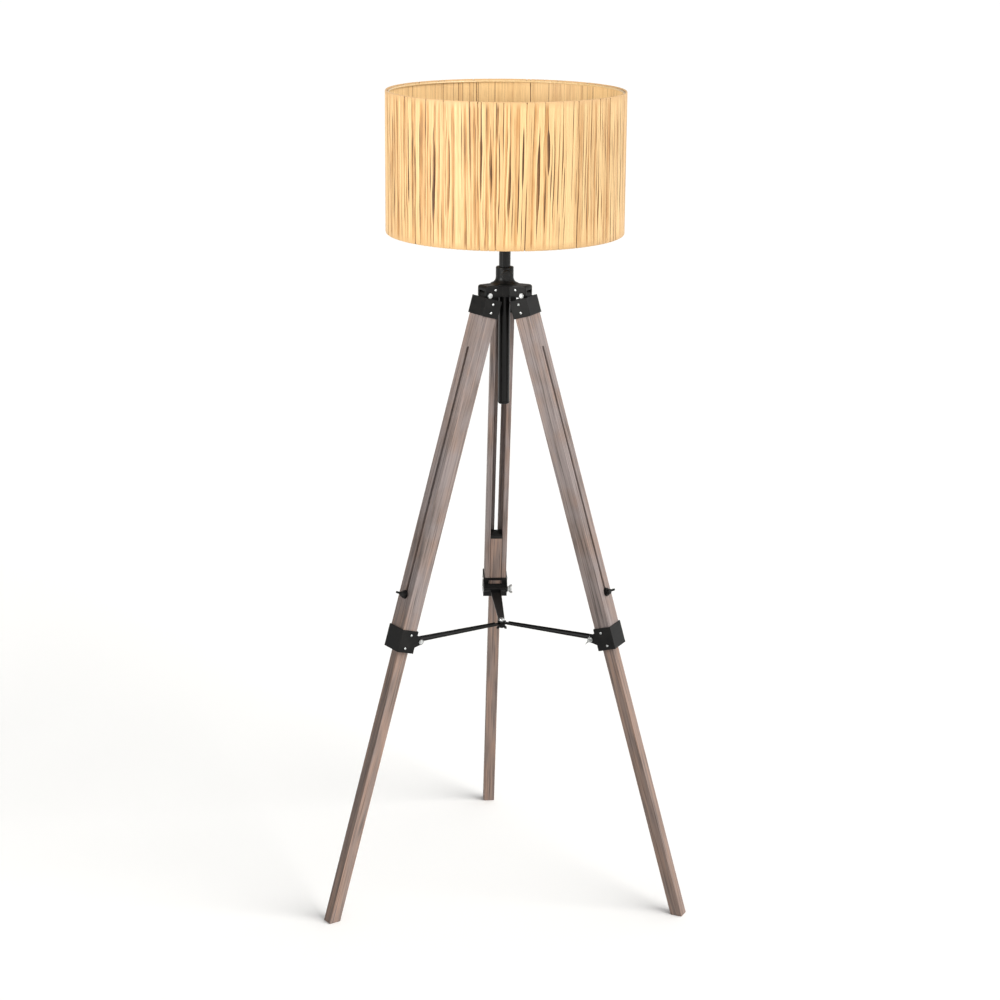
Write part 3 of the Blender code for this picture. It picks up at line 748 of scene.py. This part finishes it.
def inner_strands(sizes, low, high, radius):
    """Straighter strands round the inside, which face the bulb. They are paler than the outside ones as
    painted light on the inside wall.
    """
    luck = Random(23)
    shape, tones, rims = strand_shape()
    count = sizes.inner_strands
    for number in range(count):
        turn = 2 * pi * number / count + luck.uniform(-0.0006, 0.0006) / radius
        slope = luck.uniform(-0.0016, 0.0016) / radius
        share = luck.uniform(1.0, 1.16) if luck.random() < 0.93 else luck.uniform(0.55, 0.85)
        wide = pi * radius / count * share
        # painted light: the inside strands take paler tones than the outside ones, so that the inside wall
        # looks more brightly lit
        tone = max(0.0, luck.uniform(-0.45, 0.45))
        path, centres = [], []
        for i in range(INSIDE_STEPS + 1):
            path.append((radius, low + (high - low) * i / INSIDE_STEPS, (-1, 0), 0.0))
            centres.append(turn + slope * (i / INSIDE_STEPS - 0.5))
        strand(shape, tones, rims, path, centres, [wide] * len(path), INSIDE_THICK, tone)
    return closed(shape)


class LAMP_OT_shade(bpy.types.Operator):
    """Binds the drum shade with raffia strands over a brown lining"""
    bl_idname = "lamp.shade"
    bl_label = "Raffia shade"

    def execute(self, context):
        sizes = context.scene.lamp_sizes
        low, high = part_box("shade_drum")
        outer = (high.x - low.x) / 2
        inner = outer - DRUM_WALL
        slits = chosen_slits(sizes, low.z, high.z)
        over = outer_strands(sizes, low.z, high.z, outer - FACE_INSET, inner + FACE_INSET, slits)
        under = under_strands_gap_shade(sizes, low.z + UNDER_RIM_GAP, high.z - UNDER_RIM_GAP, outer - UNDER_INSET,
                              slits)
        inside = inner_strands(sizes, low.z + INSIDE_RIM_GAP, high.z - INSIDE_RIM_GAP, inner + INSIDE_INSET)
        layers = (("raffia_shade", over, ["shade_drum"]), ("raffia_underlay", under, ()),
                  ("raffia_inside", inside, ()))
        for name, shape, replaced in layers:
            made = piece(name, "raffia", [shape], "column", replaced)
            made.data.set_sharp_from_angle(angle=STRAND_EDGE)
        # the lining is dark as painted shade for the gaps between the strands
        near, far = inner + LINING_INSETS[0], outer - LINING_INSETS[1]
        foot, head = low.z + LINING_RIM_GAP, high.z - LINING_RIM_GAP
        lining = turned([(near, foot), (far, foot), (far, head), (near, head)], 128)
        piece("shade_lining", "raffia", [moved(lining, Matrix.Translation(LAMP_AXIS))], "column",
              surface="lining")
        return {"FINISHED"}


class LAMP_OT_shade_frame(bpy.types.Operator):
    """Finishes the wire rings, the spokes and the fitter of the shade"""
    bl_idname = "lamp.shade_frame"
    bl_label = "Shade frame"

    def execute(self, context):
        for node in ("shade_top_ring", "shade_bottom_frame"):
            dressed(node, "shade_wire", 0.0002)
        return {"FINISHED"}


def threaded(radius, low, high, pitch, depth):
    """Profile points of a rolled thread, from low to high."""
    count = max(1, round((high - low) / pitch))
    step = (high - low) / count
    points = []
    for i in range(count):
        for share, in_by in ((0.0, 1.0), (0.25, 0.3), (0.5, 0.0), (0.75, 0.3)):
            points.append((radius - depth * in_by, low + (i + share) * step))
    return points + [(radius - depth, high)]


class LAMP_OT_lampholder(bpy.types.Operator):
    """Makes the lampholder with its threaded skirt and the ribbed shade ring"""
    bl_idname = "lamp.lampholder"
    bl_label = "Lampholder"

    def execute(self, context):
        sizes = context.scene.lamp_sizes
        place = Matrix.Translation(LAMP_AXIS)
        dressed("lampholder_cap", "plastic_black", sizes.small_edge)
        low, high = (corner.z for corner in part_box("lampholder_body"))
        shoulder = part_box("shade_bottom_frame")[0].z + 0.0098
        profile = [(0.0030, low), (0.0196, low), (0.0208, low + 0.0006), (0.0220, low + 0.0026),
                   (0.0225, low + 0.0034), (0.0225, shoulder - 0.0008), (0.0218, shoulder),
                   (0.0196, shoulder)]
        profile += threaded(0.0197, shoulder + 0.0004, shoulder + 0.0215, 0.0022, 0.0009)
        profile += [(0.0185, high - 0.010), (0.0185, high - 0.0007), (0.0179, high), (0.0156, high),
                    (0.0150, high - 0.0006), (0.0150, low + 0.004), (0.0030, low + 0.004)]
        skirt = turned(profile, 96, 32, 0.0006, (low + 0.003, shoulder - 0.0005))
        piece("lampholder_skirt", "plastic_black", [skirt], "column", ["lampholder_body"], place=place)
        low, high = (corner.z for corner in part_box("shade_ring_nut"))
        profile = [(0.0201, low), (0.0256, low), (0.0262, low + 0.0006), (0.0262, high - 0.0024),
                   (0.0256, high - 0.0018), (0.0240, high), (0.0206, high), (0.0201, high - 0.0005)]
        ring = turned(profile, 144, 24, 0.0009, (low + 0.0001, high - 0.0017))
        piece("shade_ring", "plastic_black", [ring], "column", ["shade_ring_nut"], place=place)
        return {"FINISHED"}


class LAMP_OT_bulb(bpy.types.Operator):
    """Makes the opal bulb and its screw base"""
    bl_idname = "lamp.bulb"
    bl_label = "Bulb"

    def execute(self, context):
        place = Matrix.Translation(LAMP_AXIS)
        low, high = (corner.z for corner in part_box("bulb_base"))
        profile = [(0, low), (0.0042, low), (0.0048, low + 0.0008), (0.0048, low + 0.0022),
                   (0.0070, low + 0.0034), (0.0108, low + 0.0052)]
        profile += threaded(0.0132, low + 0.0062, high - 0.009, 0.0036, 0.0011)
        profile += [(0.0128, high - 0.008), (0.0130, high - 0.0006), (0.0124, high), (0, high)]
        piece("bulb_screw_base", "lamp_metal", [turned(profile, 64)], "column", ["bulb_base"], place=place)
        low, high = (corner.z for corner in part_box("bulb_glass"))
        neck = [(0, low), (0.0126, low), (0.0132, low + 0.0010), (0.0133, low + 0.008), (0.0140, low + 0.016),
                (0.0160, low + 0.0255)]
        globe = arc((0, high - BULB_RADIUS), BULB_RADIUS, -46, 90, 22)
        profile = neck + [(max(x, 0), z) for x, z in globe[:-1]] + [(0, high)]
        piece("bulb_envelope", "opal_glass", [turned(profile, 64)], "column", ["bulb_glass"], place=place)
        return {"FINISHED"}


class LAMP_OT_column(bpy.types.Operator):
    """Finishes the sliding tube and the bush in its lower end"""
    bl_idname = "lamp.column"
    bl_label = "Column"

    def execute(self, context):
        sizes = context.scene.lamp_sizes
        dressed("column_tube", "tube_black", sizes.small_edge)
        dressed("cord_bush", "plastic_black", sizes.small_edge)
        return {"FINISHED"}


class LAMP_OT_head(bpy.types.Operator):
    """Makes the cast head and the fluted clamp knob"""
    bl_idname = "lamp.head"
    bl_label = "Head and clamp knob"

    def execute(self, context):
        sizes = context.scene.lamp_sizes
        softened("cast_head", "head_casting", "cast_iron_black", "head", sizes.cast_skin, 4)
        for side in SIDES:
            for face, way in (("a", -1), ("b", 1)):
                shapes, cuts = pan_screw(sizes.screw_head)
                turn = leg_place(side).to_3x3()
                out = Vector((turn[0][1], turn[1][1], 0)).cross(Vector((0, 0, 1)))
                beside = turn.col[1] * way * HEAD_SCREW_SIDE
                at = LAMP_AXIS + out * HEAD_SCREW_OUT + beside + Vector((0, 0, HEAD_SCREW_HEIGHT))
                piece(f"head_screw_{side}_{face}", "zinc", shapes, "head", (), cuts,
                      facing(turn.col[1] * way, at))
        joint = JOINTS["column_clamp_turn"]
        face = KNOB_FACE
        profile = [(0, 0.0120), (0.0030, 0.0120), (0.0030, face), (0.0090, face), (0.0100, face + 0.0006),
                   (0.0104, face + 0.0014), (0.0104, face + 0.0082), (0.0100, face + 0.0092),
                   (0.0092, face + 0.0098), (0.0080, face + 0.0098), (0.0074, face + 0.0092),
                   (0.0050, face + 0.0094), (0.0026, face + 0.0103), (0, face + 0.0106)]
        knob = turned(profile, 120, 20, 0.0007, (face + 0.0005, face + 0.0093))
        piece("clamp_knob_fluted", "plastic_black", [knob], "clamp_knob", ["column_clamp_knob"],
              place=facing(joint["axis"], joint["pos_m"]))
        return {"FINISHED"}


# Legs

def channel_leg():
    """The upper leg: a channel open towards the lamp's axis, with a long slot in its outer wall."""
    half = UPPER_WIDTH / 2
    outer, inner = UPPER_X + UPPER_DEPTH / 2, UPPER_X - UPPER_DEPTH / 2
    web = outer - WEB
    outline = [(outer, -half), (outer, half), (inner, half), (inner, half - CHEEK), (web, half - CHEEK),
               (web, CHEEK - half), (inner, CHEEK - half), (inner, -half)]
    wide = SLOT_WIDTH / 2
    slot = arc((0, SLOT_ENDS[1] - wide), wide, 0, 180, 12) + arc((0, SLOT_ENDS[0] + wide), wide, 180, 360, 12)
    across = Matrix(((0, 0, 1, 0), (1, 0, 0, 0), (0, 1, 0, 0), (0, 0, 0, 1)))
    return [prism(outline, *UPPER_ENDS)], [moved(prism(slot, web - 0.005, outer + 0.005), across)]


def square_leg(lean, floor):
    """The lower leg, cut level with the floor at its foot, with a hole for the lock's stud."""
    depth, half = LOWER_DEPTH / 2, LOWER_WIDTH / 2
    shape = block((LOWER_X - depth, LOWER_X + depth), (-half, half), (-1.0, LOWER_TOP))
    for vert in shape.verts:
        if vert.co.z < LOWER_TOP - 0.1:
            vert.co.z = -(floor + vert.co.x * sin(lean)) / cos(lean)
    hole = prism(arc((0, 0), STUD_HOLE, 0, 337.5, 15), LOWER_X - 0.006, 0.03)
    return [shape], [moved(hole, facing((1, 0, 0), (0, 0, STUD_HEIGHT)))]


def pan_screw(radius):
    """A small pan-head screw with a cross recess, standing on Z=0."""
    head = turned([(0, -0.001), (radius * 0.6, -0.001), (radius * 0.6, 0), (radius, 0),
                   (radius, radius * 0.22), (radius * 0.82, radius * 0.50),
                   (radius * 0.45, radius * 0.62), (0, radius * 0.66)], 24)
    arm, width = radius * 0.55, radius * 0.13
    return [head], [block((-arm, arm), (-width, width), (radius * 0.35, radius)),
                    block((-width, width), (-arm, arm), (radius * 0.35, radius))]


class LAMP_OT_upper_legs(bpy.types.Operator):
    """Makes the slotted upper legs"""
    bl_idname = "lamp.upper_legs"
    bl_label = "Upper legs"

    def execute(self, context):
        for side in SIDES:
            shapes, cuts = channel_leg()
            piece(f"upper_leg_wood_{side}", "wood", shapes, f"leg_{side}", [f"upper_leg_{side}"], cuts,
                  leg_place(side), context.scene.lamp_sizes.wood_edge)
        return {"FINISHED"}


class LAMP_OT_lower_legs(bpy.types.Operator):
    """Makes the sliding lower legs and finishes their end caps"""
    bl_idname = "lamp.lower_legs"
    bl_label = "Lower legs"

    def execute(self, context):
        sizes = context.scene.lamp_sizes
        for side in SIDES:
            lean = asin(Vector(JOINTS[f"leg_length_{side}"]["axis"]).xy.length)
            floor = JOINTS[FOLD_JOINTS[side]]["pos_m"][2]
            shapes, cuts = square_leg(lean, floor)
            piece(f"lower_leg_wood_{side}", "wood", shapes, f"lower_leg_{side}", [f"lower_leg_{side}"], cuts,
                  leg_place(side), sizes.wood_edge, "wood_thin_wash")
            dressed(f"lower_leg_cap_{side}", "plastic_black", sizes.small_edge)
        return {"FINISHED"}


class LAMP_OT_leg_metalwork(bpy.types.Operator):
    """Finishes the leg caps and the collars and adds the small screws that hold them"""
    bl_idname = "lamp.leg_metalwork"
    bl_label = "Leg caps and collars"

    def execute(self, context):
        sizes = context.scene.lamp_sizes
        for side in SIDES:
            dressed(f"leg_cap_{side}", "sheet_black", sizes.sheet_edge)
            dressed(f"collar_{side}", "sheet_black", sizes.sheet_edge)
            for part, spots in SLEEVE_SCREWS.items():
                for number, (x, z) in enumerate(spots):
                    for face, way in (("a", -1), ("b", 1)):
                        shapes, cuts = pan_screw(sizes.screw_head)
                        place = leg_place(side) @ facing((0, way, 0), (x, way * SLEEVE_SIDE, z))
                        twist = Matrix.Rotation(0.4 + number + 0.7 * way, 4, "Z")
                        piece(f"{part}_screw_{side}_{number + 1}{face}", "zinc", shapes, f"leg_{side}", (),
                              cuts, place @ twist)
        return {"FINISHED"}


class LAMP_OT_locks(bpy.types.Operator):
    """Finishes the lock knobs and washers of the telescopic legs"""
    bl_idname = "lamp.locks"
    bl_label = "Lock knobs"

    def execute(self, context):
        sizes = context.scene.lamp_sizes
        for side in SIDES:
            dressed(f"lock_washer_{side}", "sheet_black", sizes.small_edge)
            dressed(f"lock_knob_{side}", "plastic_black", 2 * sizes.small_edge)
        return {"FINISHED"}


class LAMP_OT_brace(bpy.types.Operator):
    """Finishes the three pressed arms of the folding brace"""
    bl_idname = "lamp.brace"
    bl_label = "Brace arms"

    def execute(self, context):
        for side in SIDES:
            dressed(f"brace_arm_{side}", "sheet_black", context.scene.lamp_sizes.small_edge)
        return {"FINISHED"}


class LAMP_OT_hardware(bpy.types.Operator):
    """Finishes the bolts, nuts and wing nuts"""
    bl_idname = "lamp.hardware"
    bl_label = "Bolts and nuts"

    def execute(self, context):
        edge = context.scene.lamp_sizes.small_edge
        for side in SIDES:
            for node in ("pivot_bolt", "pivot_nut", "brace_bolt", "brace_wing_nut"):
                dressed(f"{node}_{side}", "zinc", edge)
        dressed("hub_bolt", "zinc", edge)
        dressed("hub_wing_nut", "sheet_black", edge)
        return {"FINISHED"}


# Stage

def lamp_light(name, kind, at, target, strength, tint, **settings):
    """A light that shines from one place towards another."""
    data = bpy.data.lights.new(name, kind)
    data.energy, data.color = strength, tint
    for setting, value in settings.items():
        setattr(data, setting, value)
    made = bpy.data.objects.new(name, data)
    bpy.context.scene.collection.objects.link(made)
    made.matrix_world = facing(Vector(at) - Vector(target), at)


class LAMP_OT_stage(bpy.types.Operator):
    """Lays the floor and sets the light and the camera"""
    bl_idname = "lamp.stage"
    bl_label = "Floor, light and camera"

    def execute(self, context):
        scene = context.scene
        sizes = scene.lamp_sizes
        floor = mesh_object("studio_floor", block(FLOOR_WIDTH, FLOOR_WIDTH, FLOOR_HEIGHTS))
        floor.data.materials.append(finish("floor"))

        world = bpy.data.worlds.new("studio")
        world.use_nodes = True
        tree = world.node_tree
        direction = add(tree, "ShaderNodeTexCoord")["Generated"]
        across = add(tree, "ShaderNodeSeparateXYZ", {"Vector": direction})["X"]
        glow = span(tree, across, WORLD_GLOW, (-1.0, 1.0))
        seen = add(tree, "ShaderNodeLightPath")["Is Camera Ray"]
        sky = blend(tree, seen, glow, grey(1.0))
        tree.links.new(sky, tree.nodes["Background"].inputs["Color"])
        scene.world = world
        middle = LAMP_AXIS + Vector((0, 0, 0.9))
        lamp_light("window", "SUN", middle + Vector(WINDOW_FROM), middle, 3.15, (1.0, 0.985, 0.96),
                   angle=radians(50))
        lamp_light("shade_fill", "AREA", (-2.4, -1.9, 1.9), LAMP_AXIS + Vector((0, 0, 1.50)), 5.6,
                   (1.0, 0.99, 0.97), shape="DISK", size=0.9, spread=radians(35))
        scene.view_settings.view_transform = "Standard"

        back = Vector((sin(CAMERA_TURN), -cos(CAMERA_TURN), 0))
        ahead = -back * cos(CAMERA_PITCH) - Vector((0, 0, sin(CAMERA_PITCH)))
        level = Vector((cos(CAMERA_TURN), sin(CAMERA_TURN), 0))
        right = level * cos(CAMERA_ROLL) + level.cross(ahead) * sin(CAMERA_ROLL)
        data = bpy.data.cameras.new("camera")
        data.sensor_width = CAMERA_SENSOR
        data.lens = CAMERA_LENS
        data.shift_x, data.shift_y = CAMERA_SHIFT
        data.clip_end = 200
        camera = bpy.data.objects.new("camera", data)
        scene.collection.objects.link(camera)
        turned_to = Matrix((right, right.cross(ahead), -ahead)).transposed().to_4x4()
        camera.matrix_world = Matrix.Translation(LAMP_AXIS + back * sizes.camera_distance
                                                 + Vector((0, 0, sizes.camera_height))) @ turned_to
        scene.camera = camera
        return {"FINISHED"}


class LAMP_PT_panel(bpy.types.Panel):
    """Lists the lamp's pieces and settings"""
    bl_idname = "LAMP_PT_panel"
    bl_label = "Tripod lamp"
    bl_space_type = "VIEW_3D"
    bl_region_type = "UI"
    bl_category = "Tripod lamp"

    def draw(self, context):
        for operator in OPERATORS:
            self.layout.operator(operator.bl_idname)
        for settings in (context.scene.lamp_sizes, context.scene.lamp_look):
            box = self.layout.box()
            for name in settings.__annotations__:
                box.prop(settings, name)


OPERATORS = (
    LAMP_OT_stage, LAMP_OT_shade, LAMP_OT_shade_frame, LAMP_OT_lampholder, LAMP_OT_bulb, LAMP_OT_column,
    LAMP_OT_head, LAMP_OT_upper_legs, LAMP_OT_lower_legs, LAMP_OT_leg_metalwork, LAMP_OT_locks, LAMP_OT_brace,
    LAMP_OT_hardware,
)
CLASSES = (LampLook, LampSizes, *OPERATORS, LAMP_PT_panel)


def register():
    for kind in CLASSES:
        bpy.utils.register_class(kind)
    bpy.types.Scene.lamp_look = bpy.props.PointerProperty(type=LampLook)
    bpy.types.Scene.lamp_sizes = bpy.props.PointerProperty(type=LampSizes)


def unregister():
    del bpy.types.Scene.lamp_sizes
    del bpy.types.Scene.lamp_look
    for kind in reversed(CLASSES):
        bpy.utils.unregister_class(kind)


def main():
    register()
    for operator in OPERATORS:
        group, name = operator.bl_idname.split(".")
        getattr(getattr(bpy.ops, group), name)()


if __name__ == "__main__":
    main()
